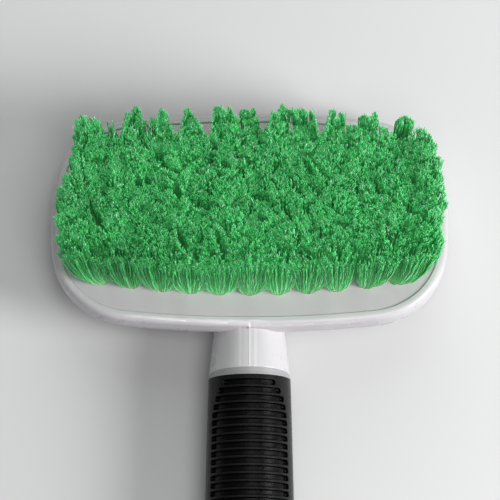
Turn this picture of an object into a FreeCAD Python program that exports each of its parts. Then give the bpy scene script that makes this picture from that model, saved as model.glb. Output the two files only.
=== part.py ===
import FreeCAD, Part
import math
import os

# Wheel brush, in millimetres, lying on its back: X across the head, Y along the handle (the head is at
# +Y), Z up. The handle's axis is level. The head is bent away from it, so that the head's far edge and
# the handle rest on the same level surface, z = 0.
#
# Two local frames are used. The head's frame has x across, v along and w up from the rim's plane, and
# is tilted into place by HEAD_PLACE. Along the handle, s is the distance from the head's near edge.

os.makedirs("parts", exist_ok=True)
Vector = FreeCAD.Vector

# ---- driving dimensions: head ----
HEAD_TILT = 14.0  # degrees between the head's face and the handle's axis
HEAD_HALF_WIDTH = 75.0
HEAD_HALF_DEPTH = 44.6
LONG_SIDE_RADIUS = 420.0  # the bow of the long sides
SHORT_SIDE_RADIUS = 150.0  # the bow of the short sides
CORNER_RADIUS = 31.0
HEAD_THICKNESS = 14.0
BACK_EDGE_RADIUS = 9.0
RIM_WIDTH = 3.5
RIM_OUTER_ROUND = 2.0
RIM_INNER_ROUND = 0.55
FACE_RECESS = 0.6  # from the rim's plane down to the block's face
BLOCK_THICKNESS = 8.0
BLOCK_CLEARANCE = 0.05
BLOCK_EDGE_ROUND = 0.35
GATE_RADIUS = 0.5  # the cut-off gate of the moulding, a nib on the near side's wall
GATE_HEIGHT = 0.35
GATE_W = -2.2

# ---- driving dimensions: bristles ----
TUFTS_IN_ROW = (11, 12, 13, 12, 13, 12, 11)
TUFT_PITCH = 10.85
ROW_PITCH = 10.1
ROW_BOW = 0.15  # how much nearer the middle a row is at BOW_X than at x = 0
BOW_X = 54.3
FLARE = 0.085  # how much further out a tip is than its base at FLARE_X
FLARE_X = 60.0
BRISTLE_LENGTH = 32.0  # above the block's face
HOLE_RADIUS = 2.2
HOLE_DEPTH = 6.6
TUFT_ROOT_RADIUS = 2.12
TUFT_TIP_RADIUS = 4.8
ROOT_GAP = 0.1  # under the tuft's fold
STAPLE_LENGTH = 5.2
STAPLE_THICKNESS = 0.4
STAPLE_HEIGHT = 2.0
STAPLE_LIFT = 0.9  # fold of bristle under the staple

# ---- driving dimensions: neck and handle ----
AXIS_HEIGHT = 17.0  # the grip's largest radius rests on z = 0
NECK_PROFILE = ((-64.0, 8.6), (-38.0, 10.8), (0.0, 13.4), (17.8, 15.5))  # s, radius
NECK_END = 16.5  # s of the neck's end, on the axis
NECK_END_SLANT = 3.7  # degrees
NECK_END_ROUND = 0.4
PARTING_LINE_HEIGHT = 0.1  # the mould's parting line, a fine ridge along the top of the neck
PARTING_LINE_WIDTH = 0.5
SPIGOT_RADIUS = 9.0
SPIGOT_CLEARANCE = 0.06
SPIGOT_START = -11.5
SPIGOT_FLAT = 3.4  # height of the spigot's flat above the axis
COLLAR_RADIUS = 15.05
COLLAR_BEAD = 0.4  # height of the bead beside the rubber
COLLAR_BEAD_WIDTH = 0.8
COLLAR_BEAD_SLOPE = 0.2  # length of the bead's sloping side
COLLAR_HIDDEN = 2.0  # more than the neck's slanted end cuts away
GRIP_START = 18.2
GRIP_END = 150.0
GRIP_PROFILE = (  # s, radius
    (GRIP_START, 15.4),
    (42.0, 16.05),
    (66.0, 16.6),
    (88.0, 17.0),
    (116.0, 16.2),
    (136.0, 15.9),
    (GRIP_END, 16.6),
)
CORE_RADIUS = 12.8
CORE_BORE_RADIUS = 9.5
CORE_BORE_START = 32.0
SLEEVE_CLEARANCE = 0.02
GRIP_EDGE_ROUND = 0.8

# ---- driving dimensions: the grip's ribbed panels ----
GROOVE_PITCH = 2.95
GROOVE_TOP_WIDTH = 2.15
GROOVE_FLOOR_WIDTH = 1.6
GROOVE_DEPTH = 1.25
FIRST_GROOVE = 21.0  # s of the first groove's middle
LAST_GROOVE = 145.0
PANEL_HALF_ANGLE = 62.0
PANEL_ROUND_LENGTH = 14.75  # the stretch over which the panel's end is rounded
PANEL_ROUND_SHAPE = 1.28  # larger leaves the first groove longer

# ---- driving dimensions: end plug ----
PLUG_CLEARANCE = 0.05
PLUG_DEPTH = 16.0
FLANGE_THICKNESS = 2.5
FLANGE_RADIUS = 15.2
FLANGE_ROUND = 1.0
TONGUE_LENGTH = 20.0
TONGUE_HALF_WIDTH = 11.0
TONGUE_THICKNESS = 11.0
TONGUE_ROUND = 2.0
HANG_HOLE_RADIUS = 4.5
HANG_HOLE_SETBACK = 10.5  # from the tongue's tip to the hole's centre

# ---- driving dimensions: screws ----
SCREW_ROWS = (1, 5)
SCREW_STEP = 4  # tuft pitches from the middle
SCREW_SHANK_RADIUS = 1.5
SCREW_HEAD_RADIUS = 3.2
SCREW_HEAD_HEIGHT = 2.0
SCREW_HEAD_ROUND = 0.9
SCREW_BITE = 5.0  # how far a block screw reaches into the block
SCREW_POINT = 1.6
SCREW_TIP_RADIUS = 0.375
COUNTERBORE_RADIUS = 3.7
COUNTERBORE_DEPTH = 2.6
HANDLE_SCREW_S = 6.0
HANDLE_SCREW_BITE = 7.0
HANDLE_COUNTERBORE_TOP = 6.2  # height above z = 0 of the handle screw's seat
SCREW_CLEARANCE = 0.15
CROSS_LENGTH = 3.2
CROSS_WIDTH = 0.7
CROSS_DEPTH = 1.1

# ---- places worked out from the driving dimensions ----
TILT = math.radians(HEAD_TILT)
EDGE_CENTRE_V = HEAD_HALF_DEPTH - BACK_EDGE_RADIUS
EDGE_CENTRE_W = BACK_EDGE_RADIUS - HEAD_THICKNESS
# the far edge's round touches z = 0
HEAD_Z = BACK_EDGE_RADIUS + EDGE_CENTRE_V * math.sin(TILT) - EDGE_CENTRE_W * math.cos(TILT)
HEAD_PLACE = FreeCAD.Placement(Vector(0, 0, HEAD_Z), FreeCAD.Rotation(Vector(1, 0, 0), -HEAD_TILT))
NEAR_EDGE_Y = -HEAD_HALF_DEPTH * math.cos(TILT)
FACE_W = -FACE_RECESS
BLOCK_BACK_W = FACE_W - BLOCK_THICKNESS
HOLE_FLOOR_W = FACE_W - HOLE_DEPTH
STAPLE_FLOOR_W = HOLE_FLOOR_W + STAPLE_LIFT
TIP_W = FACE_W + BRISTLE_LENGTH
BLOCK_SCREW_SEAT_W = COUNTERBORE_DEPTH - HEAD_THICKNESS
FLANGE_END = GRIP_END + FLANGE_THICKNESS
TONGUE_END = FLANGE_END + TONGUE_LENGTH
REACH = 200.0  # longer than anything that it cuts
OVERLAP = 1.0  # how far a cutter runs past a face, or a solid into the one that it is joined to
SAME_PLACE = 1e-3  # two places closer than this are the same


# ---- helpers ----
def handle_y(s):
    return NEAR_EDGE_Y - s


def in_place(shape):
    """A shape made in the head's frame, tilted into the brush's frame."""
    moved = shape.copy()
    moved.Placement = HEAD_PLACE.multiply(moved.Placement)
    return moved


def cylinder_along_handle(radius, start, end):
    """A cylinder on the handle's axis from s = start to s = end."""
    base = Vector(0, handle_y(end), AXIS_HEIGHT)
    return Part.makeCylinder(radius, end - start, base, Vector(0, 1, 0))


def turned_on_axis(outline, angle=360.0, start_angle=0.0):
    """Turns a closed outline of (s, radius) points about the handle's axis, from the top of the handle."""
    corners = [Vector(0, handle_y(s), AXIS_HEIGHT + radius) for s, radius in outline]
    face = Part.Face(Part.makePolygon(corners + corners[:1]))
    centre = Vector(0, 0, AXIS_HEIGHT)
    face.rotate(centre, Vector(0, 1, 0), start_angle)
    return face.revolve(centre, Vector(0, 1, 0), angle)


def turned_profile(profile):
    """A solid of revolution whose side is a smooth curve through (s, radius) points."""
    points = [Vector(0, handle_y(s), AXIS_HEIGHT + radius) for s, radius in profile]
    side = Part.BSplineCurve()
    side.interpolate(points)
    first = Vector(0, points[0].y, AXIS_HEIGHT)
    last = Vector(0, points[-1].y, AXIS_HEIGHT)
    edges = [
        Part.makeLine(first, points[0]),
        side.toShape(),
        Part.makeLine(points[-1], last),
        Part.makeLine(last, first),
    ]
    face = Part.Face(Part.Wire(edges))
    return face.revolve(Vector(0, 0, AXIS_HEIGHT), Vector(0, 1, 0), 360)


def edges_at(shape, height):
    """The edges of a head-frame shape that lie wholly at w = height."""
    found = []
    for edge in shape.Edges:
        box = edge.BoundBox
        if abs(box.ZMin - height) < SAME_PLACE and abs(box.ZMax - height) < SAME_PLACE:
            found.append(edge)
    return found


def round_edges_at(shape, s):
    """The whole circles of a shape turned on the handle's axis that lie at s."""
    y = handle_y(s)
    circles = [edge for edge in shape.Edges if edge.isClosed() and edge.BoundBox.YLength < SAME_PLACE]
    return [edge for edge in circles if abs(edge.BoundBox.YMax - y) < SAME_PLACE]


def interpolated(profile, s):
    """Radius at s on straight lines between a profile's points."""
    for (s0, r0), (s1, r1) in zip(profile, profile[1:]):
        if s0 <= s <= s1:
            return r0 + (r1 - r0) * (s - s0) / (s1 - s0)
    return profile[-1][1]


# ---- the head's outline ----
def corner_centre():
    """Centre of the corner arc that is tangent to the long side's arc and to the short side's arc."""
    long_v = HEAD_HALF_DEPTH - LONG_SIDE_RADIUS
    short_x = HEAD_HALF_WIDTH - SHORT_SIDE_RADIUS
    to_long = LONG_SIDE_RADIUS - CORNER_RADIUS
    to_short = SHORT_SIDE_RADIUS - CORNER_RADIUS
    apart = math.hypot(short_x, long_v)
    along = (to_long**2 - to_short**2 + apart**2) / (2 * apart)
    aside = math.sqrt(to_long**2 - along**2)
    unit = Vector(short_x / apart, -long_v / apart, 0)
    return Vector(0, long_v, 0) + unit * along + Vector(-unit.y, unit.x, 0) * -aside


def head_outline(inset, w):
    """The closed outline of eight tangent arcs, moved inwards by inset, at height w."""
    long_centre = Vector(0, HEAD_HALF_DEPTH - LONG_SIDE_RADIUS, 0)
    short_centre = Vector(HEAD_HALF_WIDTH - SHORT_SIDE_RADIUS, 0, 0)
    corner = corner_centre()
    long_way = (corner - long_centre).normalize()
    short_way = (corner - short_centre).normalize()
    middle_way = (long_way + short_way).normalize()
    long_end = corner + long_way * (CORNER_RADIUS - inset)
    short_end = corner + short_way * (CORNER_RADIUS - inset)
    corner_middle = corner + middle_way * (CORNER_RADIUS - inset)
    long_middle = Vector(0, HEAD_HALF_DEPTH - inset, 0)
    short_middle = Vector(HEAD_HALF_WIDTH - inset, 0, 0)

    def at(point, x_sign, v_sign):
        return Vector(point.x * x_sign, point.y * v_sign, w)

    arcs = []
    for v_sign in (1, -1):
        ends = (at(long_end, -1, v_sign), at(long_middle, 1, v_sign), at(long_end, 1, v_sign))
        arcs.append(Part.Arc(*ends).toShape())
    for x_sign in (1, -1):
        ends = (at(short_end, x_sign, -1), at(short_middle, x_sign, 1), at(short_end, x_sign, 1))
        arcs.append(Part.Arc(*ends).toShape())
    for x_sign in (1, -1):
        for v_sign in (1, -1):
            ends = [at(point, x_sign, v_sign) for point in (long_end, corner_middle, short_end)]
            arcs.append(Part.Arc(*ends).toShape())
    return Part.Wire(Part.sortEdges(arcs)[0])


def head_slab(inset, low, high):
    face = Part.Face(head_outline(inset, low))
    return face.extrude(Vector(0, 0, high - low))


# ---- where the tufts and screws are, in the head's frame ----
def row_v(row, x):
    """v of a row at x: the rows bow towards the middle at their ends, like the head's outline."""
    straight = (row - (len(TUFTS_IN_ROW) - 1) / 2) * ROW_PITCH
    return straight * (1 - ROW_BOW * (x / BOW_X) ** 2)


def tuft_roots(row):
    count = TUFTS_IN_ROW[row]
    for i in range(count):
        x = (i - (count - 1) / 2) * TUFT_PITCH
        yield x, row_v(row, x)


def tuft_tip(x, v):
    """Where a tuft's tip is: the tufts near the ends of the head flare outwards."""
    grow = 1 + FLARE * (x / FLARE_X) ** 2
    return x * grow, v


def screw_places():
    """Half way between two tufts of a row."""
    for row in SCREW_ROWS:
        for side in (-1, 1):
            x = side * SCREW_STEP * TUFT_PITCH
            yield x, row_v(row, x)


# ---- small solids ----
def disc_wire(x, v, w, radius):
    return Part.Wire(Part.makeCircle(radius, Vector(x, v, w)))


def staple(x, v):
    corner = Vector(x - STAPLE_LENGTH / 2, v - STAPLE_THICKNESS / 2, STAPLE_FLOOR_W)
    return Part.makeBox(STAPLE_LENGTH, STAPLE_THICKNESS, STAPLE_HEIGHT, corner)


def tuft(x, v):
    """One tuft: a round root in its hole that opens into a leaning fan, folded under its staple."""
    root_w = HOLE_FLOOR_W + ROOT_GAP
    root = Part.makeCylinder(TUFT_ROOT_RADIUS, FACE_W - root_w, Vector(x, v, root_w))
    tip_x, tip_v = tuft_tip(x, v)
    rings = [disc_wire(x, v, FACE_W, TUFT_ROOT_RADIUS), disc_wire(tip_x, tip_v, TIP_W, TUFT_TIP_RADIUS)]
    fan = Part.makeLoft(rings, True, True)
    return root.fuse(fan).cut(staple(x, v))


def screw(seat_to_tip):
    """A self-tapping screw that points to +Z: its head is under z = 0 and its seat is at z = 0."""
    head = Part.makeCylinder(SCREW_HEAD_RADIUS, SCREW_HEAD_HEIGHT, Vector(0, 0, -SCREW_HEAD_HEIGHT))
    head = head.makeFillet(SCREW_HEAD_ROUND, edges_at(head, -SCREW_HEAD_HEIGHT))
    straight = seat_to_tip - SCREW_POINT
    shank = Part.makeCylinder(SCREW_SHANK_RADIUS, straight)
    point = Part.makeCone(SCREW_SHANK_RADIUS, SCREW_TIP_RADIUS, SCREW_POINT, Vector(0, 0, straight))
    body = head.fuse([shank, point])
    for length, width in ((CROSS_LENGTH, CROSS_WIDTH), (CROSS_WIDTH, CROSS_LENGTH)):
        slot = Part.makeBox(length, width, CROSS_DEPTH, Vector(-length / 2, -width / 2, -SCREW_HEAD_HEIGHT))
        body = body.cut(slot)
    return body


# ---- the pieces ----
def beyond_neck_end():
    """Everything on the handle's side of the neck's slanted end."""
    space = Part.makeBox(REACH, REACH, REACH, Vector(-REACH / 2, -REACH, -REACH / 2))
    space.rotate(Vector(0, 0, 0), Vector(1, 0, 0), -NECK_END_SLANT)
    space.translate(Vector(0, handle_y(NECK_END), AXIS_HEIGHT))
    return space


def make_neck():
    """The neck and the spine that it runs into on the head's back, cut off at a slant."""
    neck = turned_profile(NECK_PROFILE).cut(beyond_neck_end())
    end = max(neck.Faces, key=lambda face: face.BoundBox.YMin * face.normalAt(0, 0).y)
    neck = neck.makeFillet(NECK_END_ROUND, end.Edges)
    return neck.fuse(make_parting_line())


def make_parting_line():
    """The ridge follows the top of the neck and stops where the neck's end starts to round over."""
    raised = [(s, radius + PARTING_LINE_HEIGHT) for s, radius in NECK_PROFILE]
    corner = Vector(-PARTING_LINE_WIDTH / 2, -REACH, AXIS_HEIGHT)
    ridge = turned_profile(raised).common(Part.makeBox(PARTING_LINE_WIDTH, 2 * REACH, REACH, corner))
    rounded_end = beyond_neck_end()
    rounded_end.translate(Vector(0, NECK_END_ROUND, 0))
    return ridge.cut(rounded_end)


def make_head_shell():
    body = head_slab(0, -HEAD_THICKNESS, 0)
    body = body.makeFillet(BACK_EDGE_RADIUS, edges_at(body, -HEAD_THICKNESS))
    body = body.makeFillet(RIM_OUTER_ROUND, edges_at(body, 0))
    pocket = head_slab(RIM_WIDTH, BLOCK_BACK_W, 0)
    body = body.cut(pocket)
    inner = [edge for edge in edges_at(body, 0) if inside_rim(edge.BoundBox)]
    body = body.makeFillet(RIM_INNER_ROUND, inner)
    shell = in_place(body).fuse([make_neck(), in_place(make_gate())])
    shell = shell.cut(in_place(head_slab(RIM_WIDTH, BLOCK_BACK_W, HEAD_THICKNESS)))
    shell = shell.cut(make_spigot(SPIGOT_CLEARANCE))
    for x, v in screw_places():
        shell = shell.cut(in_place(screw_hole(x, v, BLOCK_SCREW_SEAT_W, HEAD_THICKNESS)))
    handle_hole_depth = AXIS_HEIGHT - HANDLE_COUNTERBORE_TOP
    y = handle_y(HANDLE_SCREW_S)
    shell = shell.cut(screw_hole(0, y, HANDLE_COUNTERBORE_TOP, handle_hole_depth))
    return shell.removeSplitter()


def make_gate():
    """A small nib in the middle of the near side's wall."""
    start = Vector(0, -HEAD_HALF_DEPTH - GATE_HEIGHT, GATE_W)
    return Part.makeCylinder(GATE_RADIUS, 2 * GATE_HEIGHT, start, Vector(0, 1, 0))


def inside_rim(box):
    """Whether an edge's box lies on the rim's inner side and not on its outer side."""
    x_limit = HEAD_HALF_WIDTH - RIM_WIDTH / 2
    v_limit = HEAD_HALF_DEPTH - RIM_WIDTH / 2
    return box.XMax < x_limit and box.XMin > -x_limit and box.YMax < v_limit and box.YMin > -v_limit


def screw_hole(x, y, seat, depth):
    """A counterbore that opens downwards from seat, and a clearance hole of the given depth above it."""
    bore = Part.makeCylinder(COUNTERBORE_RADIUS, REACH, Vector(x, y, seat - REACH))
    hole = Part.makeCylinder(SCREW_SHANK_RADIUS + SCREW_CLEARANCE, depth, Vector(x, y, seat))
    return bore.fuse(hole)


def make_bristle_block():
    block = head_slab(RIM_WIDTH + BLOCK_CLEARANCE, BLOCK_BACK_W, FACE_W)
    block = block.makeFillet(BLOCK_EDGE_ROUND, edges_at(block, FACE_W))
    cuts = []
    for row in range(len(TUFTS_IN_ROW)):
        for x, v in tuft_roots(row):
            cuts.append(Part.makeCylinder(HOLE_RADIUS, HOLE_DEPTH + OVERLAP, Vector(x, v, HOLE_FLOOR_W)))
            cuts.append(staple(x, v))
    for x, v in screw_places():
        cuts.append(screw_in_head(x, v))
    return in_place(block.cut(cuts))


def screw_in_head(x, v):
    made = screw(BLOCK_BACK_W + SCREW_BITE - BLOCK_SCREW_SEAT_W)
    made.translate(Vector(x, v, BLOCK_SCREW_SEAT_W))
    return made


def make_block_screws():
    return Part.makeCompound([in_place(screw_in_head(x, v)) for x, v in screw_places()])


def make_handle_screw():
    tip = AXIS_HEIGHT - SPIGOT_RADIUS + HANDLE_SCREW_BITE
    made = screw(tip - HANDLE_COUNTERBORE_TOP)
    made.translate(Vector(0, handle_y(HANDLE_SCREW_S), HANDLE_COUNTERBORE_TOP))
    return made


def make_tuft_row(row):
    return Part.makeCompound([in_place(tuft(x, v)) for x, v in tuft_roots(row)])


def make_staple_row(row):
    return Part.makeCompound([in_place(staple(x, v)) for x, v in tuft_roots(row)])


def make_spigot(clearance):
    """The D-shaped spigot that the neck holds, or the socket for it if clearance is given."""
    spigot = cylinder_along_handle(SPIGOT_RADIUS + clearance, SPIGOT_START - clearance, GRIP_START)
    flat = Vector(-REACH / 2, -REACH, AXIS_HEIGHT + SPIGOT_FLAT + clearance)
    return spigot.cut(Part.makeBox(REACH, 2 * REACH, REACH, flat))


def make_handle_core():
    """Spigot, collar with a bead beside the rubber, and the hollow rod under the grip."""
    collar_start = NECK_END - COLLAR_HIDDEN
    bead_start = GRIP_START - COLLAR_BEAD_WIDTH
    collar_outline = (
        (collar_start, 0),
        (collar_start, COLLAR_RADIUS),
        (bead_start, COLLAR_RADIUS),
        (bead_start + COLLAR_BEAD_SLOPE, COLLAR_RADIUS + COLLAR_BEAD),
        (GRIP_START, COLLAR_RADIUS + COLLAR_BEAD),
        (GRIP_START, 0),
    )
    collar = turned_on_axis(collar_outline).common(beyond_neck_end())
    rod = cylinder_along_handle(CORE_RADIUS, GRIP_START, GRIP_END)
    core = make_spigot(0).fuse([collar, rod])
    core = core.cut(cylinder_along_handle(CORE_BORE_RADIUS, CORE_BORE_START, GRIP_END + OVERLAP))
    return core.cut(make_handle_screw())


def panel_half_angle(s):
    """Half of the angle that the grooves cover at s: less near the panel's rounded ends."""
    from_end = min(s - FIRST_GROOVE, LAST_GROOVE - s)
    if from_end >= PANEL_ROUND_LENGTH:
        return PANEL_HALF_ANGLE
    missing = (PANEL_ROUND_LENGTH - from_end) / (PANEL_ROUND_SHAPE * PANEL_ROUND_LENGTH)
    return PANEL_HALF_ANGLE * math.sqrt(1 - missing**2)


def groove(s, side_angle):
    """Cutters for one groove with rounded ends, centred on side_angle about the handle's axis."""
    outer = interpolated(GRIP_PROFILE, s)
    half = panel_half_angle(s) - math.degrees(GROOVE_TOP_WIDTH / 2 / outer)
    slope = (GROOVE_TOP_WIDTH - GROOVE_FLOOR_WIDTH) / 2 / GROOVE_DEPTH
    lip = GROOVE_TOP_WIDTH / 2 + slope * OVERLAP
    outline = [
        (s - GROOVE_FLOOR_WIDTH / 2, outer - GROOVE_DEPTH),
        (s + GROOVE_FLOOR_WIDTH / 2, outer - GROOVE_DEPTH),
        (s + lip, outer + OVERLAP),
        (s - lip, outer + OVERLAP),
    ]
    middle = turned_on_axis(outline, 2 * half, side_angle - half)
    ends = [groove_end(s, outer, lip, way, side_angle + way * half) for way in (-1, 1)]
    return [middle] + ends


def groove_end(s, outer, lip, way, angle):
    """The half cone that rounds a groove's end. way is the side of the groove that it is on."""
    y = handle_y(s)
    low = AXIS_HEIGHT + outer - GROOVE_DEPTH
    high = AXIS_HEIGHT + outer + OVERLAP
    outline = ((0, low), (GROOVE_FLOOR_WIDTH / 2, low), (lip, high), (0, high))
    corners = [Vector(0, y + aside, z) for aside, z in outline]
    face = Part.Face(Part.makePolygon(corners + corners[:1]))
    end = face.revolve(Vector(0, y, low), Vector(0, 0, 1), -180 * way)
    end.rotate(Vector(0, y, AXIS_HEIGHT), Vector(0, 1, 0), angle)
    return end


def make_grip_sleeve():
    """The rubber sleeve: a smooth turned skin with a ribbed panel on the front and on the back."""
    sleeve = turned_profile(GRIP_PROFILE)
    sleeve = sleeve.makeFillet(GRIP_EDGE_ROUND, round_edges_at(sleeve, GRIP_END))
    bore = cylinder_along_handle(CORE_RADIUS + SLEEVE_CLEARANCE, GRIP_START - OVERLAP, GRIP_END + OVERLAP)
    sleeve = sleeve.cut(bore)
    count = int((LAST_GROOVE - FIRST_GROOVE) / GROOVE_PITCH) + 1
    cutters = []
    for i in range(count):
        for side_angle in (0, 180):
            cutters.extend(groove(FIRST_GROOVE + i * GROOVE_PITCH, side_angle))
    return sleeve.cut(cutters)


def make_end_plug():
    """Plug, flange and a flat tongue with the hanging hole."""
    plug_radius = CORE_BORE_RADIUS - PLUG_CLEARANCE
    plug = cylinder_along_handle(plug_radius, GRIP_END - PLUG_DEPTH, GRIP_END + OVERLAP)
    flange = cylinder_along_handle(FLANGE_RADIUS, GRIP_END, FLANGE_END)
    flange = flange.makeFillet(FLANGE_ROUND, round_edges_at(flange, FLANGE_END))
    low = AXIS_HEIGHT - TONGUE_THICKNESS / 2
    nose_y = handle_y(TONGUE_END - TONGUE_HALF_WIDTH)
    length = handle_y(GRIP_END + FLANGE_THICKNESS / 2) - nose_y
    corner = Vector(-TONGUE_HALF_WIDTH, nose_y, low)
    bar = Part.makeBox(2 * TONGUE_HALF_WIDTH, length, TONGUE_THICKNESS, corner)
    nose = Part.makeCylinder(TONGUE_HALF_WIDTH, TONGUE_THICKNESS, Vector(0, nose_y, low))
    tongue = bar.fuse(nose).removeSplitter()
    tongue = tongue.makeFillet(TONGUE_ROUND, edges_at(tongue, low) + edges_at(tongue, low + TONGUE_THICKNESS))
    hole_y = handle_y(TONGUE_END - HANG_HOLE_SETBACK)
    hole = Part.makeCylinder(HANG_HOLE_RADIUS, REACH, Vector(0, hole_y, -REACH / 2))
    return plug.fuse([flange, tongue]).cut(hole).removeSplitter()


# ---- the assembly ----
nodes = {
    "head_shell": make_head_shell(),
    "bristle_block": make_bristle_block(),
    "block_screws": make_block_screws(),
    "handle_core": make_handle_core(),
    "handle_screw": make_handle_screw(),
    "grip_sleeve": make_grip_sleeve(),
    "end_plug": make_end_plug(),
}
for row in range(len(TUFTS_IN_ROW)):
    nodes[f"tuft_row_{row + 1}"] = make_tuft_row(row)
    nodes[f"staple_row_{row + 1}"] = make_staple_row(row)

# the origin is under the middle of the brush's box
box = Part.makeCompound(list(nodes.values())).optimalBoundingBox(False)
middle_y = (box.YMin + box.YMax) / 2
for name, shape in nodes.items():
    shape.translate(Vector(0, -middle_y, 0))
    shape.exportStep(f"parts/{name}.step")
    print(f"{name}: {len(shape.Solids)} solids, {shape.Volume:.0f} mm3, valid {shape.isValid()}")
print(f"size {box.XLength:.2f} x {box.YLength:.2f} x {box.ZLength:.2f}, lowest point {box.ZMin:.3f}")
print(f"hang hole y {handle_y(TONGUE_END - HANG_HOLE_SETBACK) - middle_y:.3f}")
print(f"head frame y {-middle_y:.3f} z {HEAD_Z:.3f}, near edge y {NEAR_EDGE_Y - middle_y:.3f}")
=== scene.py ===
import math

import bpy
import numpy as np
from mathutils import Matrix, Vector


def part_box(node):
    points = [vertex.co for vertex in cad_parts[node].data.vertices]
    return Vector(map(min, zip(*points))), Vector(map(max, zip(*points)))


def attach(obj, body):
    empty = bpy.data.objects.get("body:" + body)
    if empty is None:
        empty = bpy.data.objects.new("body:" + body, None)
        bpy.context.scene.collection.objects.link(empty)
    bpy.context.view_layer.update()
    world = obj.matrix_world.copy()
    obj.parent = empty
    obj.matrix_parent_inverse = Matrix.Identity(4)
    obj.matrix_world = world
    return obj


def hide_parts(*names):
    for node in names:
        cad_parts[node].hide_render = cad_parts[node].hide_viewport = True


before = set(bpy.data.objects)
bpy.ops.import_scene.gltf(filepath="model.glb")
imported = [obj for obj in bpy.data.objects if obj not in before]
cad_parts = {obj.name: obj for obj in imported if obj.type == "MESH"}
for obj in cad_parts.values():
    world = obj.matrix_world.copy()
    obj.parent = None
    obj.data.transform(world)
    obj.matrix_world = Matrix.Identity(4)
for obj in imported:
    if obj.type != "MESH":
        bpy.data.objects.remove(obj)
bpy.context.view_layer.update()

# The looks of the wheel brush, in metres, in the CAD frame: X across the head, Y along the handle, Z up.
# The seven rows of tufts are replaced by rows of separate bristles. Every other CAD node keeps its shape
# and gets a procedural material.

MM = 0.001
rng = np.random.default_rng(20)
ROWS = sum(1 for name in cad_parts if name.startswith("tuft_row_"))

# ---- the bristles ----
BRISTLES_IN_TUFT = 200
ROOT_DISC = 2.1 * MM  # the bristles' roots fill a disc of this radius in each hole
START_DEPTH = 2.0 * MM  # how far down its hole a bristle starts
SAME_LEVEL = 0.1 * MM  # points of a CAD tuft's root that differ by less are on its bottom
BETWEEN_TUFTS = 3.0 * MM  # a larger step across the head than this leads to the next tuft
# A tuft is folded over a staple that lies across the head, so it opens further that way than the other,
# and it opens quickly near its root: a shape below 1 is a fan that is widest early.
FAN_ACROSS = (8.0 * MM, 10.5 * MM)  # the narrowest and widest tuft's half width at its tips
FAN_ALONG = (7.0 * MM, 9.0 * MM)
FLARE_SHAPE = 5.0  # above 1, only the tufts near a row's end lean outwards
FLARE_SHORT_OF_EDGE = 5.0 * MM  # a row's end tuft leans to this far inside the outline of the tips
TUFT_LENGTH_SPREAD = 0.5 * MM
CLUMP_LENGTH_SPREAD = 0.6 * MM
CLUMPS_REACH = 1.1  # the clumps' middles fill this share of a tuft's fan
PULL_SPREAD = (0.5, 1.3)  # least and most of its tuft's pull that a bristle feels
TIP_SPREAD = 0.3 * MM


class Tuft:
    """How the bristles of a row's tufts stand."""

    shape = (0.55, 0.85)  # how a fan opens, across and along
    narrowest, widest = 1.0, 1.0  # shares of the full fan
    spread = 0.5  # 0.5 fills a tuft evenly, and less crowds its bristles to its outside
    clumps = 9  # clumps that the tips draw together in
    pull = 0.22
    point = 0.2  # how much shorter a bristle is for each unit of distance from its clump's middle
    dome = 0.38  # the same for its distance from the tuft's middle
    lean = 0.9 * MM  # how far a whole tuft leans at its tip
    length_spread = 0.3 * MM
    fibre_spread = 0.4 * MM


class FarTuft(Tuft):
    """The tufts at the head's far edge are narrower and end in a few points."""

    narrowest, widest = 0.5, 0.7
    clumps = 4
    pull = 0.5
    point = 0.5
    dome = 0.0
    fibre_spread = 0.25 * MM


class NearTuft(Tuft):
    """The tufts at the near edge open as soon as they leave the face."""

    shape = (0.33, 0.6)
    narrowest, widest = 1.0, 1.12
    spread = 0.4
    dome = 0.7
    length_spread = 1.3 * MM


# The outline that all the tips stay in, in the head's plane: its sides draw in towards the far edge and
# towards the corners, and its long edges are bowed.
TIPS_HALF_WIDTH = 72.5 * MM
TIPS_SIDES_AT = np.array((-33.0, -24.0, -6.0, 8.0, 25.0, 32.0)) * MM  # places along the head
TIPS_LEFT = np.array((68.0, 72.3, 72.3, 67.5, 66.0, 61.0)) * MM  # and how far the sides are there
TIPS_RIGHT = np.array((68.5, 71.5, 73.0, 72.5, 66.5, 57.0)) * MM
TIPS_NEAR = -33.0 * MM
TIPS_FAR = 31.5 * MM
TIPS_BOW = 4.5 * MM
# Its edges are rows of points with dips between them, and the rim shows through a few gaps at the far one.
POINTS_ACROSS = 29
FAR_DIP = (1.5 * MM, 5.5 * MM)
POINTS_ALONG = 11
SIDE_DIP = (1.2 * MM, 4.6 * MM)
POINT_TIP = (0.0 * MM, 1.2 * MM)
POINT_SHIFT = 0.6 * MM
GAPS = (1, 3, 4, 6, 8)  # each is between this tuft of the far row and the next one
GAP_DEPTH = 10.0 * MM
GAP_HALF_WIDTH = 3.0 * MM
GAP_FLOOR = 0.35  # the share of a gap's width that is full depth
DRAWN_IN = (0.85, 1.5)  # a tip outside the outline moves in by these shares of its overshoot
PARTINGS = 24  # places where the tips part and the dark between the tufts shows
PARTINGS_REACH = 0.85  # the share of the field that they are in
PARTING_LENGTH = (2.2 * MM, 5.0 * MM)  # half length
PARTING_TURN = (-1.25, -0.2)  # radians: most run from the upper left to the lower right
PARTING_WIDTH = 1.5 * MM
PARTING_PUSH = (0.8 * MM, 2.3 * MM)
BRISTLE_RADIUS = 0.27 * MM
SPLIT_AT = 0.9  # where along it a bristle splits into fine fibres
FULL_WIDTH_AT = 0.3  # a bristle is thinner between its root and here
ROOT_WIDTH = 0.7  # its width at its root, as a share of its full width
SPLIT_WIDTH = 0.9  # and where it splits
BRISTLE_RINGS = 7
CRIMP = 0.18 * MM  # the wave along a crimped bristle
CRIMP_WAVES = 4.0
CRIMP_FADE = 0.25  # the stretch over which the wave grows
FIBRES = 4
FIBRE_RADIUS = 0.2 * MM
FIBRE_TAPER = (1.15, 0.6)  # its width at the split and at its tip, as shares
FIBRE_RINGS = 2
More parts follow.
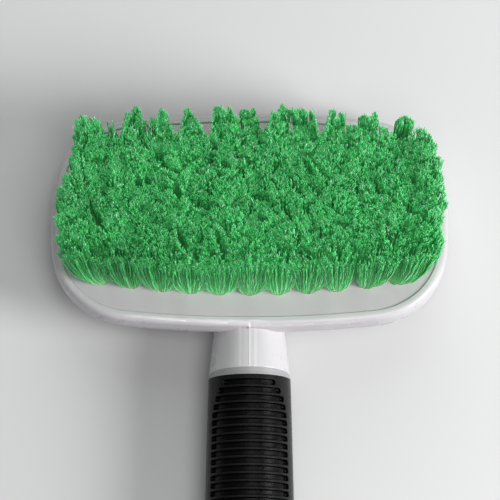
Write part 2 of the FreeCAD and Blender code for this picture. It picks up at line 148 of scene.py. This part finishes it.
FIBRE_CURL = 0.1 * MM
FIBRE_LENGTH_SPREAD = 0.55 * MM
TIP_HIGHLIGHT_SHARE = 0.06  # the share of fibres whose tip carries a painted highlight, a pale speck
SIDES = 3  # of a bristle or fibre
STRIP_INSET = 0.15  # the margin round each strand's strip in its cell of the UV square
MIDDLE_TONE = 0.5  # 0 is the darkest green and 1 the lightest
TUFT_TONE_SPREAD = 0.16  # how much darker or lighter a whole tuft is
TONE_SPREAD = 0.08

# ---- the plastics' light and dark shades, and their roughness ----
SHELL_SHADES = ((0.62, 0.60, 0.62), (0.57, 0.55, 0.57))
SHELL_ROUGHNESS = 0.3
BLOCK_SHADES = ((0.60, 0.545, 0.59), (0.55, 0.50, 0.54))
BLOCK_ROUGHNESS = 0.38
# the handle core is the white plastic darkened to grey, a painted shade for its recessed collar band; the
# end plug shares it
CORE_PAINTED_SHADE_GREYS = ((0.385, 0.375, 0.385), (0.305, 0.297, 0.308))
CORE_ROUGHNESS = 0.4

# ---- the grip's rubber ----
RUBBER_LIGHT = (0.013, 0.013, 0.0134)
RUBBER_DARK = (0.0075, 0.0075, 0.0078)
# near-black painted shade that an occlusion mask blends onto the grooves' floors
GROOVE_PAINTED_SHADE = (0.0004, 0.0004, 0.0004)
GROOVE_SHADE_REACH = 3.0 * MM  # how near the walls are that paint shade onto a groove's floor
RIB_EDGE_ROUND = 0.45 * MM

# ---- painted highlights on the shell's neck: a line along the mould's parting line, and streaks of reflection beside it ----
PARTING_HIGHLIGHT_HALF_WIDTH = 0.45 * MM
PARTING_HIGHLIGHT_COLOUR = (0.72, 0.70, 0.72)
NECK_REFLECTION_COLOUR = (0.9, 0.88, 0.9)
NECK_REFLECTIONS_REACH = 8.0 * MM  # how far the painted streaks of reflection go on either side of the parting line
NECK_HIGHLIGHTS_FADE = 2.0 * MM  # the stretch over which the painted highlights fade out at the head

# ---- floor and light, in metres and watts ----
FLOOR_HALF_SIZE = 3.0
FLOOR_GAP = 0.2 * MM  # the floor is this far under the brush, so that no two faces share a plane
LIGHTS = (  # name, place, size, power
    ("key", (0.75, -0.15, 0.50), 0.40, 8.4),
    ("front", (0.16, -0.22, 1.12), 0.60, 4.5),
    ("fill", (0.10, 0.75, 0.75), 0.80, 2.6),
)
SKY_COLOUR = (0.95, 0.97, 1.0)
SKY_STRENGTH = 0.16

# ---- camera ----
CAMERA_ELEVATION = 78.0
CAMERA_DISTANCE = 1.15
FRAME_WIDTH = 189.4 * MM
SENSOR_WIDTH = 36.0
FACE_ABOVE_MIDDLE = 10.3 * MM  # how far above the picture's middle the head's middle is
FACE_LEFT_OF_MIDDLE = 0.2 * MM

HEAD_TILT = math.radians(14.0)
ACROSS = np.array((1.0, 0.0, 0.0))
ALONG_HEAD = np.array((0.0, math.cos(HEAD_TILT), -math.sin(HEAD_TILT)))
OFF_FACE = np.array((0.0, math.sin(HEAD_TILT), math.cos(HEAD_TILT)))


# ---- material helpers ----
class Shader:
    """A material with a Principled shader, and short ways to add nodes to it."""

    def __init__(self, name, roughness, metallic=0.0):
        self.material = bpy.data.materials.new(name)
        self.material.use_nodes = True
        self.tree = self.material.node_tree
        self.principled = self.tree.nodes["Principled BSDF"]
        self.principled.inputs["Roughness"].default_value = roughness
        self.principled.inputs["Metallic"].default_value = metallic
        coordinates = self.tree.nodes.new("ShaderNodeTexCoord")
        self.place = coordinates.outputs["Object"]

    def link(self, output, node, name):
        self.tree.links.new(output, node.inputs[name])

    def stretched(self, scale):
        """Object coordinates scaled by a different number along each axis."""
        node = self.tree.nodes.new("ShaderNodeMapping")
        node.inputs["Scale"].default_value = scale
        self.link(self.place, node, "Vector")
        return node.outputs["Vector"]

    def noise(self, scale, detail=2.0, place=None, distortion=0.0):
        node = self.tree.nodes.new("ShaderNodeTexNoise")
        node.inputs["Scale"].default_value = scale
        node.inputs["Detail"].default_value = detail
        node.inputs["Distortion"].default_value = distortion
        self.link(place or self.place, node, "Vector")
        return node.outputs["Fac"]

    def ramp(self, value, *stops):
        """Maps a value through (position, colour or number) stops."""
        node = self.tree.nodes.new("ShaderNodeValToRGB")
        elements = node.color_ramp.elements
        while len(elements) < len(stops):
            elements.new(0.5)
        for element, (position, stop) in zip(elements, stops):
            element.position = position
            element.color = (*stop, 1) if isinstance(stop, tuple) else (stop, stop, stop, 1)
        self.link(value, node, "Fac")
        return node.outputs["Color"]

    def mix(self, amount, first, second, kind="MIX"):
        node = self.tree.nodes.new("ShaderNodeMix")
        node.data_type = "RGBA"
        node.blend_type = kind
        if isinstance(amount, float):
            node.inputs[0].default_value = amount
        else:
            self.tree.links.new(amount, node.inputs[0])
        for socket, value in ((node.inputs[6], first), (node.inputs[7], second)):
            if isinstance(value, tuple):
                socket.default_value = (*value, 1)
            else:
                self.tree.links.new(value, socket)
        return node.outputs[2]

    def axes(self):
        """The x, y and z of the place on the object."""
        node = self.tree.nodes.new("ShaderNodeSeparateXYZ")
        self.link(self.place, node, "Vector")
        return node.outputs

    def math(self, operation, first, second=None):
        """The result of one of the Math node's operations."""
        node = self.tree.nodes.new("ShaderNodeMath")
        node.operation = operation
        self.link(first, node, 0)
        if second:
            self.link(second, node, 1)
        return node.outputs["Value"]

    def step(self, value, start, end):
        """Rises from 0 where value is start to 1 where it is end."""
        node = self.tree.nodes.new("ShaderNodeMapRange")
        node.inputs["From Min"].default_value = start
        node.inputs["From Max"].default_value = end
        self.link(value, node, "Value")
        return node.outputs["Result"]

    def occlusion(self, distance):
        """0 deep in a groove or corner, 1 on an open surface."""
        node = self.tree.nodes.new("ShaderNodeAmbientOcclusion")
        node.samples = 8
        node.inputs["Distance"].default_value = distance
        return node.outputs["AO"]

    def rounded_edges(self, radius):
        """The surface's direction with its sharp edges rounded over."""
        node = self.tree.nodes.new("ShaderNodeBevel")
        node.samples = 4
        node.inputs["Radius"].default_value = radius
        return node.outputs["Normal"]

    def attribute(self, name):
        """The red, green and blue parts of a colour attribute."""
        node = self.tree.nodes.new("ShaderNodeAttribute")
        node.attribute_name = name
        parts = self.tree.nodes.new("ShaderNodeSeparateColor")
        self.link(node.outputs["Color"], parts, "Color")
        return parts.outputs

    def colour(self, output):
        self.link(output, self.principled, "Base Color")

    def roughness(self, output):
        self.link(output, self.principled, "Roughness")

    def bump(self, height, distance, strength=1.0, after=None):
        node = self.tree.nodes.new("ShaderNodeBump")
        node.inputs["Distance"].default_value = distance
        node.inputs["Strength"].default_value = strength
        self.link(height, node, "Height")
        if after:
            self.link(after, node, "Normal")
        self.link(node.outputs["Normal"], self.principled, "Normal")
        return node.outputs["Normal"]


# ---- materials ----
def moulded_plastic(name, light, dark, roughness, line_ends_at=None):
    """Glossy moulded polypropylene: faint flow marks along the handle, fine scuffs, an uneven gloss. On the
    neck, up to line_ends_at, a painted highlight along the mould's parting line and painted streaks of
    reflection beside it show pale."""
    shader = Shader(name, roughness)
    flow = shader.noise(1.0, 3.0, shader.stretched((60, 18, 60)), 0.6)
    tint = shader.ramp(flow, (0.3, dark), (0.7, light))
    specks = shader.ramp(shader.noise(900, 2.0), (0.70, 1.0), (0.80, 0.95))
    tint = shader.mix(1.0, tint, specks, "MULTIPLY")
    if line_ends_at is not None:
        x, y = shader.axes()[:2]
        off_middle = shader.math("ABSOLUTE", x)
        on_neck = shader.step(y, line_ends_at, line_ends_at - NECK_HIGHLIGHTS_FADE)
        # line is a painted highlight along the parting line, and drawn is painted streaks of reflection
        # beside it
        line = shader.step(off_middle, PARTING_HIGHLIGHT_HALF_WIDTH, PARTING_HIGHLIGHT_HALF_WIDTH / 2)
        drawn = shader.ramp(shader.noise(1.0, 1.0, shader.stretched((700, 4, 4))), (0.5, 0.0), (0.75, 0.35))
        near_middle = shader.step(off_middle, NECK_REFLECTIONS_REACH, NECK_REFLECTIONS_REACH / 2)
        drawn = shader.math("MULTIPLY", drawn, near_middle)
        tint = shader.mix(shader.math("MULTIPLY", drawn, on_neck), tint, NECK_REFLECTION_COLOUR)
        tint = shader.mix(shader.math("MULTIPLY", line, on_neck), tint, PARTING_HIGHLIGHT_COLOUR)
    shader.colour(tint)
    gloss = shader.noise(140, 4.0)
    shader.roughness(shader.ramp(gloss, (0.3, roughness - 0.06), (0.7, roughness + 0.1)))
    waves = shader.bump(shader.noise(45, 2.0), 0.1 * MM, 0.3)
    shader.bump(shader.noise(1800, 3.0), 0.012 * MM, 0.6, waves)
    shader.principled.inputs["Subsurface Weight"].default_value = 0.12
    shader.principled.inputs["Subsurface Radius"].default_value = (1.0, 1.0, 1.0)
    shader.principled.inputs["Subsurface Scale"].default_value = 1.5 * MM
    return shader.material


def grip_rubber():
    """Satin black rubber with a fine grain, greyer and darker in random patches, and with its edges rounded
    over.
    The grooves' floors are painted black: a painted shade where the groove walls close in, so the ribs show
    greyer."""
    shader = Shader("grip_rubber_look", 0.36)
    shader.principled.inputs["Specular IOR Level"].default_value = 0.13
    wear = shader.noise(110, 4.0)
    skin = shader.ramp(wear, (0.35, RUBBER_DARK), (0.75, RUBBER_LIGHT))
    # painted shade: occlusion blends the grooves' floors to near-black where the walls close in
    free_of_painted_shade = shader.ramp(shader.occlusion(GROOVE_SHADE_REACH), (0.70, 0.0), (0.95, 1.0))
    shader.colour(shader.mix(free_of_painted_shade, GROOVE_PAINTED_SHADE, skin))
    shader.roughness(shader.ramp(shader.noise(1500, 3.0), (0.35, 0.22), (0.65, 0.44)))
    edges = shader.rounded_edges(RIB_EDGE_ROUND)
    grain = shader.bump(shader.noise(2200, 3.0), 0.05 * MM, 0.8, edges)
    shader.bump(shader.noise(70, 1.0), 0.2 * MM, 0.4, grain)
    return shader.material


def zinc_steel():
    """Zinc-plated screws: a cloudy bright grey with an uneven gloss."""
    shader = Shader("zinc_steel_look", 0.3, metallic=1.0)
    cloud = shader.noise(500, 4.0)
    shader.colour(shader.ramp(cloud, (0.3, (0.52, 0.53, 0.55)), (0.7, (0.70, 0.71, 0.72))))
    shader.roughness(shader.ramp(shader.noise(900, 3.0), (0.3, 0.22), (0.7, 0.42)))
    shader.bump(shader.noise(3000, 2.0), 0.02 * MM, 0.5)
    return shader.material


def staple_wire():
    """Flat drawn wire, with fine marks across the head."""
    shader = Shader("staple_wire_look", 0.34, metallic=1.0)
    cloud = shader.noise(1400, 3.0)
    shader.colour(shader.ramp(cloud, (0.3, (0.45, 0.45, 0.44)), (0.7, (0.62, 0.62, 0.60))))
    shader.bump(shader.noise(1.0, 2.0, shader.stretched((400, 6000, 6000))), 0.02 * MM, 0.5)
    return shader.material


def green_bristle():
    """Green filament: paler at its root, a painted light as if lit through the packed roots; deeper up the
    shaft;
    pale specks at some split tips, which are painted highlights.
    """
    shader = Shader("green_bristle_look", 0.5)
    tone, along, pale = shader.attribute("strand")[:3]
    shaft = shader.ramp(
        along,
        # the pale root colour is painted light, as if lit through the packed roots
        (0.0, (0.42, 0.78, 0.36)),
        (0.2, (0.16, 0.66, 0.245)),
        (0.7, (0.056, 0.43, 0.11)),
        (1.0, (0.068, 0.48, 0.135)),
    )
    tones = shader.ramp(tone, (0.0, 0.62), (0.5, 0.94), (1.0, 1.14))
    toned = shader.mix(1.0, shaft, tones, "MULTIPLY")
    # pale marks the painted highlights on some fibres' tips
    shader.colour(shader.mix(pale, toned, (0.42, 0.88, 0.52)))
    shader.principled.inputs["Specular IOR Level"].default_value = 0.25
    shader.principled.inputs["Subsurface Weight"].default_value = 1.0
    shader.principled.inputs["Subsurface Radius"].default_value = (0.5, 1.0, 0.6)
    shader.principled.inputs["Subsurface Scale"].default_value = 0.8 * MM
    # A painted glow: the filaments emit light that stands in for the light crowded see-through filaments
    # pass on to each other.
    painted_glow = shader.ramp(along, (0.0, 0.20), (0.15, 0.13), (0.55, 0.055), (0.85, 0.085), (1.0, 0.125))
    shader.link(shader.mix(1.0, toned, painted_glow, "MULTIPLY"), shader.principled, "Emission Color")
    shader.principled.inputs["Emission Strength"].default_value = 1.0
    return shader.material


# ---- the bristles' geometry ----
def tuft_roots(node):
    """The middle of each tuft's root in a CAD row of tufts, from left to right, on the block's face."""
    points = np.array([vertex.co for vertex in node.data.vertices], float)
    height = points @ OFF_FACE
    bottom = points[height < height.min() + SAME_LEVEL]
    bottom = bottom[np.argsort(bottom[:, 0])]
    breaks = np.flatnonzero(np.diff(bottom[:, 0]) > BETWEEN_TUFTS) + 1
    middles = [(group.max(0) + group.min(0)) / 2 for group in np.split(bottom, breaks)]
    root_to_face = face_height - height.min()
    return [middle + OFF_FACE * root_to_face for middle in middles]


def in_disc(count, radius, spread=0.5):
    """Random places in a disc, evenly spread at 0.5 and crowded towards its edge below that."""
    angle = rng.uniform(0, 2 * math.pi, count)
    distance = radius * rng.uniform(0, 1, count) ** spread
    return np.stack((np.cos(angle), np.sin(angle)), 1) * distance[:, None]


def make_partings():
    """Where the tips part: a middle, a direction and a half length for each, in the head's plane."""
    partings = []
    for _ in range(PARTINGS):
        middle = rng.uniform(-PARTINGS_REACH, PARTINGS_REACH, 2) * (TIPS_HALF_WIDTH, TIPS_FAR)
        angle = rng.uniform(*PARTING_TURN)
        direction = np.array((math.cos(angle), math.sin(angle)))
        partings.append((middle, direction, rng.uniform(*PARTING_LENGTH)))
    return partings


def edge_x(x, v):
    """How far the outline of the tips reaches at v, on the side that x is on."""
    left = np.interp(v, TIPS_SIDES_AT, TIPS_LEFT) - np.interp(v, *left_edge)
    right = np.interp(v, TIPS_SIDES_AT, TIPS_RIGHT) - np.interp(v, *right_edge)
    return np.where(x < 0, left, right)


def ragged_edge(reach, points, dip):
    """How far an edge of the tips' outline is drawn back, as places from -reach to reach and depths."""
    places = np.linspace(-reach, reach, 2 * points + 1)
    dips = rng.uniform(*dip, len(places))
    dips[::2] = rng.uniform(*POINT_TIP, points + 1)
    return places + rng.normal(0, POINT_SHIFT, len(places)), dips


def drawn_back(x):
    """How far the far edge of the tips is drawn back at x: its points and dips, and its gaps."""
    depth = np.interp(x, *far_edge)
    for gap in gap_middles:
        sides = (-GAP_HALF_WIDTH, -GAP_HALF_WIDTH * GAP_FLOOR, GAP_HALF_WIDTH * GAP_FLOOR, GAP_HALF_WIDTH)
        depth = depth + np.interp(x - gap, sides, (0, GAP_DEPTH, GAP_DEPTH, 0))
    return depth


def settled(tips, partings):
    """Tips in the head's plane, pushed away from the partings and kept inside the outline of the tips."""
    # a parting's push fades smoothly to its sides, and stops more sharply at its two ends
    for middle, direction, half_length in partings:
        along = (tips - middle) @ direction
        aside = (tips - middle) @ (-direction[1], direction[0])
        near = np.exp(-((aside / PARTING_WIDTH) ** 2) - (along / half_length) ** 4)
        push = np.sign(aside) * near * rng.uniform(*PARTING_PUSH, len(tips))
        tips = tips + push[:, None] * (-direction[1], direction[0])
    bow = TIPS_BOW * (tips[:, 0] / TIPS_HALF_WIDTH) ** 2
    too_wide = np.clip(np.abs(tips[:, 0]) - edge_x(tips[:, 0], tips[:, 1]), 0, None) * np.sign(tips[:, 0])
    too_far = np.clip(tips[:, 1] - (TIPS_FAR - bow - drawn_back(tips[:, 0])), 0, None)
    too_near = np.clip(tips[:, 1] - (TIPS_NEAR + bow), None, 0)
    over = np.stack((too_wide, too_far + too_near), 1)
    return tips - over * rng.uniform(*DRAWN_IN, over.shape)


def tuft_bristles(kind, place, row_end, length, fan, partings):
    """The bristles of the tuft rooted at place in the head's plane: the steps aside (bristle, ring, 2) and
    the heights of their centre lines, and where each one's tip is."""
    outwards = edge_x(*place) - FLARE_SHORT_OF_EDGE - row_end
    flare = outwards * np.sign(place[0]) * abs(place[0] / row_end) ** FLARE_SHAPE
    lean = rng.normal(0, kind.lean, 2)
    roots = in_disc(BRISTLES_IN_TUFT, ROOT_DISC, kind.spread)
    tips = roots / ROOT_DISC * fan
    domed = np.linalg.norm(tips, axis=1) * kind.dome
    clumps = in_disc(kind.clumps, CLUMPS_REACH) * fan
    distances = np.linalg.norm(tips[:, None] - clumps[None], axis=2)
    nearest = np.argmin(distances, axis=1)
    tips = tips + (clumps[nearest] - tips) * kind.pull * rng.uniform(*PULL_SPREAD, (len(tips), 1))
    tips = tips + rng.normal(0, TIP_SPREAD, tips.shape) + lean
    tips = settled(tips + place + (flare, 0), partings) - place
    tuft_length = length + rng.normal(0, TUFT_LENGTH_SPREAD)
    clump_length = rng.normal(0, CLUMP_LENGTH_SPREAD, kind.clumps)[nearest]
    clump_length = clump_length - distances.min(1) * kind.point
    lengths = tuft_length + clump_length - domed + rng.normal(0, kind.length_spread, len(tips))
    start = -START_DEPTH / length
    t = np.linspace(0, 1, BRISTLE_RINGS) * (SPLIT_AT - start) + start
    opened = np.clip(t, 0, None)[:, None] ** kind.shape
    side = roots[:, None] + (tips - roots)[:, None] * opened[None]
    phase = rng.uniform(0, 2 * math.pi, (len(tips), 1, 2))
    wave = np.sin(t[None, :, None] * CRIMP_WAVES * 2 * math.pi + phase)
    side = side + wave * CRIMP * np.clip(t / CRIMP_FADE, 0, 1)[None, :, None]
    up = lengths[:, None] * t[None]
    return side, up, tips, lengths


def fibres_of(kind, side, up, tips, lengths):
    """The fine fibres that the bristles split into: they go on from the bristle's end and curl apart."""
    count = len(side) * FIBRES
    from_side = np.repeat(side[:, -1], FIBRES, axis=0)
    from_up = np.repeat(up[:, -1], FIBRES)
    to_side = np.repeat(tips, FIBRES, axis=0) + rng.normal(0, kind.fibre_spread, (count, 2))
    to_up = np.repeat(lengths, FIBRES) + rng.normal(0, FIBRE_LENGTH_SPREAD, count)
    t = np.linspace(0, 1, FIBRE_RINGS)[None, :, None]
    curl = rng.normal(0, FIBRE_CURL, (count, FIBRE_RINGS, 2))
    curl[:, 0] = 0
    path = from_side[:, None] + (to_side - from_side)[:, None] * t + curl
    height = from_up[:, None] + (to_up - from_up)[:, None] * t[..., 0]
    return path, height


def placed(root, side, up):
    """Points in the brush's frame from places on the face and heights above it."""
    return root + side[..., :1] * ACROSS + side[..., 1:] * ALONG_HEAD + up[..., None] * OFF_FACE


def tubes(paths, radii):
    """The corners, as (tube, ring, side, xyz), of thin tubes round (tube, ring, xyz) centre lines."""
    tangents = np.gradient(paths, axis=1)
    tangents /= np.linalg.norm(tangents, axis=2, keepdims=True)
    aside = np.cross(tangents, ACROSS)
    aside /= np.linalg.norm(aside, axis=2, keepdims=True)
    across = np.cross(aside, tangents)
    turn = rng.uniform(0, 2 * math.pi, (len(paths), 1, 1, 1))
    angle = np.arange(SIDES)[None, None, :, None] * (2 * math.pi / SIDES) + turn
    ring = aside[:, :, None] * np.cos(angle) + across[:, :, None] * np.sin(angle)
    return paths[:, :, None] + ring * radii[None, :, None, None]


def tube_faces(count, rings):
    """Corner numbers of the side quads of count tubes, and each corner's place on a strip."""
    quads = []
    places = []
    for ring in range(rings - 1):
        for side in range(SIDES):
            after = (side + 1) % SIDES
            low, high = ring * SIDES, (ring + 1) * SIDES
            quads.append((low + side, low + after, high + after, high + side))
            left, right = side / SIDES, (side + 1) / SIDES
            bottom, top = ring / (rings - 1), (ring + 1) / (rings - 1)
            places.append(((left, bottom), (right, bottom), (right, top), (left, top)))
    offsets = (np.arange(count) * rings * SIDES)[:, None, None]
    return np.array(quads)[None] + offsets, np.array(places)


def cap_faces(count, rings):
    """Corner numbers of the triangles that close both ends of count three-sided tubes."""
    last = (rings - 1) * SIDES
    caps = np.array((tuple(reversed(range(SIDES))), tuple(range(last, last + SIDES))))
    offsets = (np.arange(count) * rings * SIDES)[:, None, None]
    return caps[None] + offsets


def strand_piece(name, groups):
    """One mesh of many tubes. groups holds (paths, radii, along, tone, pale) for each kind of tube."""
    points, corners, sizes, uvs, colours = [], [], [], [], []
    first = 0
    strands = sum(len(group[0]) for group in groups)
    cells = math.ceil(math.sqrt(strands))
    number = 0
    for paths, radii, along, tone, pale in groups:
        count, rings = paths.shape[:2]
        points.append(tubes(paths, radii).reshape(-1, 3))
        quads, places = tube_faces(count, rings)
        caps = cap_faces(count, rings)
        cell = np.arange(number, number + count)
        corner = np.stack((cell % cells, cell // cells), 1)[:, None, None]
        inside = STRIP_INSET + (1 - 2 * STRIP_INSET) * places[None]
        quad_uvs = (corner + inside) / cells
        cap_uvs = np.broadcast_to((corner + STRIP_INSET) / cells, (count, 2, SIDES, 2)).copy()
        cap_uvs[:, 1] = (corner[:, 0] + (STRIP_INSET, 1 - STRIP_INSET)) / cells
        corners.append(quads.reshape(-1) + first)
        corners.append(caps.reshape(-1) + first)
        sizes.append(np.full(quads.shape[0] * quads.shape[1], 4))
        sizes.append(np.full(count * 2, SIDES))
        uvs.append(quad_uvs.reshape(-1, 2))
        uvs.append(cap_uvs.reshape(-1, 2))
        colour = np.ones((count, rings, SIDES, 4))
        colour[..., 0] = tone[:, None, None]
        colour[..., 1] = along[None, :, None]
        colour[..., 2] = pale[:, :, None]
        colours.append(colour.reshape(-1, 4))
        first += count * rings * SIDES
        number += count
    return make_mesh(name, points, corners, sizes, uvs, colours)


def make_mesh(name, points, corners, sizes, uvs, colours):
    """A mesh from lists of arrays: its points, each face's corners and number of corners, and more."""
    points = np.concatenate(points)
    corners = np.concatenate(corners)
    sizes = np.concatenate(sizes)
    mesh = bpy.data.meshes.new(name)
    mesh.vertices.add(len(points))
    mesh.vertices.foreach_set("co", points.astype(np.float32).ravel())
    mesh.loops.add(len(corners))
    mesh.loops.foreach_set("vertex_index", corners.astype(np.int32))
    mesh.polygons.add(len(sizes))
    mesh.polygons.foreach_set("loop_start", np.concatenate(([0], np.cumsum(sizes)[:-1])).astype(np.int32))
    mesh.update(calc_edges=True)
    mesh.polygons.foreach_set("use_smooth", np.ones(len(sizes), bool))
    layer = mesh.uv_layers.new(name="OFBake")
    layer.uv.foreach_set("vector", np.concatenate(uvs).astype(np.float32).ravel())
    attribute = mesh.color_attributes.new("strand", "FLOAT_COLOR", "POINT")
    attribute.data.foreach_set("color", np.concatenate(colours).astype(np.float32).ravel())
    mesh.validate()
    piece = bpy.data.objects.new(name, mesh)
    bpy.context.scene.collection.objects.link(piece)
    return piece


def bristle_row(number, material, head_middle, partings):
    """All the bristles of one row of tufts, in place of that row's CAD node."""
    node_name = f"tuft_row_{number}"
    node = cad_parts[node_name]
    kind = {1: NearTuft, ROWS: FarTuft}.get(number, Tuft)
    shafts, fibres, tones = [], [], []
    roots = tuft_roots(node)
    row_end = max(root[0] for root in roots)
    for root in roots:
        fan = np.array((rng.uniform(*FAN_ACROSS), rng.uniform(*FAN_ALONG)))
        fan *= rng.uniform(kind.narrowest, kind.widest)
        place = np.array(((root - head_middle) @ ACROSS, (root - head_middle) @ ALONG_HEAD))
        side, up, tips, lengths = tuft_bristles(kind, place, row_end, bristle_length, fan, partings)
        shafts.append(placed(root, side, up))
        fibres.append(placed(root, *fibres_of(kind, side, up, tips, lengths)))
        tuft_tone = rng.normal(0, TUFT_TONE_SPREAD)
        tones.append(np.clip(rng.normal(MIDDLE_TONE + tuft_tone, TONE_SPREAD, len(side)), 0, 1))
    tone = np.concatenate(tones)
    shaft_along = np.linspace(0, SPLIT_AT, BRISTLE_RINGS)
    shaft_widths = np.interp(shaft_along, (0, FULL_WIDTH_AT, SPLIT_AT), (ROOT_WIDTH, 1.0, SPLIT_WIDTH))
    shaft_radii = BRISTLE_RADIUS * shaft_widths
    fibre_along = np.linspace(SPLIT_AT, 1, FIBRE_RINGS)
    fibre_radii = FIBRE_RADIUS * np.linspace(*FIBRE_TAPER, FIBRE_RINGS)
    fibre_tone = np.clip(np.repeat(tone, FIBRES) + rng.normal(0, TONE_SPREAD, len(tone) * FIBRES), 0, 1)
    # painted highlights: a pale speck on the last ring of some fibres
    fibre_tip_highlight = np.zeros((len(fibre_tone), FIBRE_RINGS))
    fibre_tip_highlight[:, -1] = rng.uniform(0, 1, len(fibre_tone)) < TIP_HIGHLIGHT_SHARE
    shaft_pale = np.zeros((len(tone), BRISTLE_RINGS))
    groups = (
        (np.concatenate(shafts), shaft_radii, shaft_along, tone, shaft_pale),
        (np.concatenate(fibres), fibre_radii, fibre_along, fibre_tone, fibre_tip_highlight),
    )
    piece = strand_piece(f"bristles_{number}", groups)
    piece.data.materials.append(material)
    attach(piece, "root")
    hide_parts(node_name)


# ---- where the block's face and the tips are, along the head's normal ----
def highest_on_normal(name):
    """How far up the head's normal a CAD node reaches."""
    points = np.array([vertex.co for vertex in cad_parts[name].data.vertices], float)
    return float((points @ OFF_FACE).max())


face_height = highest_on_normal("bristle_block")
middle_row = (ROWS + 1) // 2
bristle_length = highest_on_normal(f"tuft_row_{middle_row}") - face_height

# ---- materials on the CAD nodes ----
block_low, block_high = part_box("bristle_block")
white_plastic = moulded_plastic(
    "white_plastic_look", *SHELL_SHADES, SHELL_ROUGHNESS, line_ends_at=block_low.y
)
block_plastic = moulded_plastic("block_plastic_look", *BLOCK_SHADES, BLOCK_ROUGHNESS)
# white plastic darkened to grey: painted shade on the recessed collar
shade_darkened_core_plastic = moulded_plastic("core_plastic_look", *CORE_PAINTED_SHADE_GREYS, CORE_ROUGHNESS)
rubber = grip_rubber()
zinc = zinc_steel()
wire = staple_wire()
looks = {
    "head_shell": white_plastic,
    "bristle_block": block_plastic,
    "handle_core": shade_darkened_core_plastic,
    "end_plug": shade_darkened_core_plastic,
    "grip_sleeve": rubber,
    "block_screws": zinc,
    "handle_screw": zinc,
}
for row in range(1, ROWS + 1):
    looks[f"staple_row_{row}"] = wire
for name, material in looks.items():
    for material_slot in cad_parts[name].material_slots:
        material_slot.material = material

# ---- the rows of bristles ----
bristle_look = green_bristle()
block_middle = (block_low + block_high) / 2
parting_places = make_partings()
far_edge = ragged_edge(TIPS_HALF_WIDTH, POINTS_ACROSS, FAR_DIP)
left_edge = ragged_edge(-TIPS_NEAR, POINTS_ALONG, SIDE_DIP)
right_edge = ragged_edge(-TIPS_NEAR, POINTS_ALONG, SIDE_DIP)
far_roots = [root[0] for root in tuft_roots(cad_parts[f"tuft_row_{ROWS}"])]
gap_middles = [(far_roots[gap - 1] + far_roots[gap]) / 2 for gap in GAPS]
for row in range(1, ROWS + 1):
    bristle_row(row, bristle_look, np.array(block_middle), parting_places)


# ---- floor, light and camera ----
def add_floor():
    """A plain pale floor."""
    size = FLOOR_HALF_SIZE
    corners = [(-size, -size, 0), (size, -size, 0), (size, size, 0), (-size, size, 0)]
    mesh = bpy.data.meshes.new("floor")
    mesh.from_pydata(corners, [], [(0, 1, 2, 3)])
    floor = bpy.data.objects.new("floor", mesh)
    bpy.context.scene.collection.objects.link(floor)
    shader = Shader("floor_look", 0.7)
    shader.colour(shader.ramp(shader.noise(3.0), (0.3, 0.63), (0.7, 0.67)))
    mesh.materials.append(shader.material)
    floor.location.z = -FLOOR_GAP


def add_area_light(name, place, size, power, target):
    light = bpy.data.lights.new(name, "AREA")
    light.shape = "DISK"
    light.size = size
    light.energy = power
    lamp = bpy.data.objects.new(name, light)
    lamp.location = place
    lamp.rotation_euler = (Vector(target) - Vector(place)).to_track_quat("-Z", "Y").to_euler()
    bpy.context.scene.collection.objects.link(lamp)


def add_sky():
    world = bpy.data.worlds.new("studio")
    world.use_nodes = True
    background = world.node_tree.nodes["Background"]
    background.inputs["Color"].default_value = (*SKY_COLOUR, 1)
    background.inputs["Strength"].default_value = SKY_STRENGTH
    bpy.context.scene.world = world


def add_camera():
    """The camera looks down at the head from the handle's side. Returns the place it looks at."""
    elevation = math.radians(CAMERA_ELEVATION)
    to_camera = Vector((0, -math.cos(elevation), math.sin(elevation)))
    picture_up = Vector((0, math.sin(elevation), math.cos(elevation)))
    target = block_middle - picture_up * FACE_ABOVE_MIDDLE + Vector((FACE_LEFT_OF_MIDDLE, 0, 0))
    data = bpy.data.cameras.new("camera")
    data.sensor_width = SENSOR_WIDTH
    data.lens = SENSOR_WIDTH * CAMERA_DISTANCE / FRAME_WIDTH
    camera = bpy.data.objects.new("camera", data)
    camera.location = target + to_camera * CAMERA_DISTANCE
    camera.rotation_euler = (-to_camera).to_track_quat("-Z", "Y").to_euler()
    bpy.context.scene.collection.objects.link(camera)
    bpy.context.scene.camera = camera
    return target


add_floor()
look_at = add_camera()
for name, place, size, power in LIGHTS:
    add_area_light(name, place, size, power, look_at)
add_sky()
bpy.context.scene.view_settings.view_transform = "Standard"
